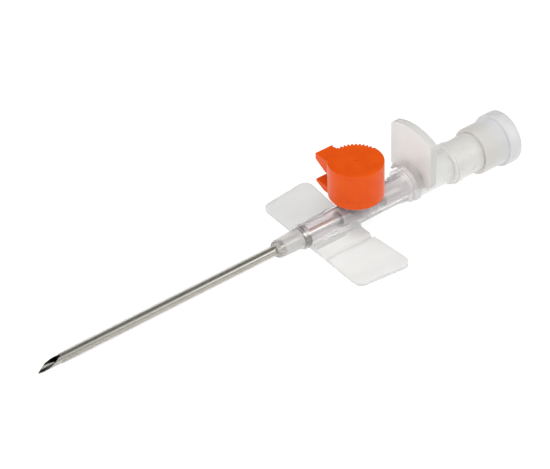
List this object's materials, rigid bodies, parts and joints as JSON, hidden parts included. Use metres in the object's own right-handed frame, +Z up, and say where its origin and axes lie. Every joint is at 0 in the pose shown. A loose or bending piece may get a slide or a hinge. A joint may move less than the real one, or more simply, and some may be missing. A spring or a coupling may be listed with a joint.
{
  "type": "iv cannula",
  "caption": "Winged peripheral intravenous cannula with a flip-top injection port, its introducer needle, thumb plate, flash chamber and screw-on stopper in place.",
  "frame": {"origin": "half-way along the whole device on its middle plane, at the height of its lowest point, the underside of the stopper's rim", "axes": "+X along the catheter towards the stopper, +Y towards the wing on the far side, +Z up through the injection port"},
  "size_m": [0.1042, 0.0314, 0.0178],
  "materials": {
    "catheter": "smooth, translucent fluoropolymer",
    "steel": "polished",
    "clear_hub": "clear, lightly frosted",
    "silicone": "matt",
    "orange_cap": "satin",
    "clear_grip": "clear",
    "milky_chamber": "milky, translucent",
    "filter": "porous",
    "white_stopper": "satin"
  },
  "bodies": {
    "hub": {"catheter_hub": "clear_hub", "catheter_tube": "catheter", "catheter_wedge": "steel", "port_valve": "silicone"},
    "near_wing": {"wing_near": "clear_hub"},
    "far_wing": {"wing_far": "clear_hub"},
    "cap_ring": {"port_cap_ring": "orange_cap"},
    "cap_lid": {"port_cap_lid": "orange_cap"},
    "needle_unit": {"introducer_needle": "steel", "needle_hub": "clear_grip", "flash_chamber": "milky_chamber"},
    "stopper_travel": {"vent_filter": "filter"},
    "stopper": {"luer_stopper": "white_stopper"}
  },
  "joints": [
    {"name": "near_wing_fold", "type": "hinge", "parent": "hub", "child": "near_wing", "pos_m": [0.0097, -0.0051, 0.00205], "axis": [-1, 0, 0], "range_deg": [0, 35]},
    {"name": "far_wing_fold", "type": "hinge", "parent": "hub", "child": "far_wing", "pos_m": [0.0097, 0.0051, 0.00205], "axis": [1, 0, 0], "range_deg": [0, 35]},
    {"name": "cap_swivel", "type": "hinge", "parent": "hub", "child": "cap_ring", "pos_m": [0.0155, 0, 0.0094], "axis": [0, 0, 1], "continuous": true},
    {"name": "cap_flip", "type": "hinge", "parent": "cap_ring", "child": "cap_lid", "pos_m": [0.01397, 0.00499, 0.01082], "axis": [-0.9563, -0.2924, 0], "range_deg": [0, 90]},
    {"name": "needle_withdrawal", "type": "slide", "parent": "hub", "child": "needle_unit", "axis": [1, 0, 0], "range_m": [0, 0.085]},
    {"name": "stopper_advance", "type": "slide", "parent": "needle_unit", "child": "stopper_travel", "axis": [1, 0, 0], "range_m": [0, 0.00375]},
    {"name": "stopper_turn", "type": "hinge", "parent": "stopper_travel", "child": "stopper", "pos_m": [0.047, 0, 0.0054], "axis": [-1, 0, 0], "range_deg": [0, 270]}
  ],
  "couplings": [
    {"joint": "stopper_turn", "follows": "stopper_advance", "rad_per_m": 1256.6}
  ]
}
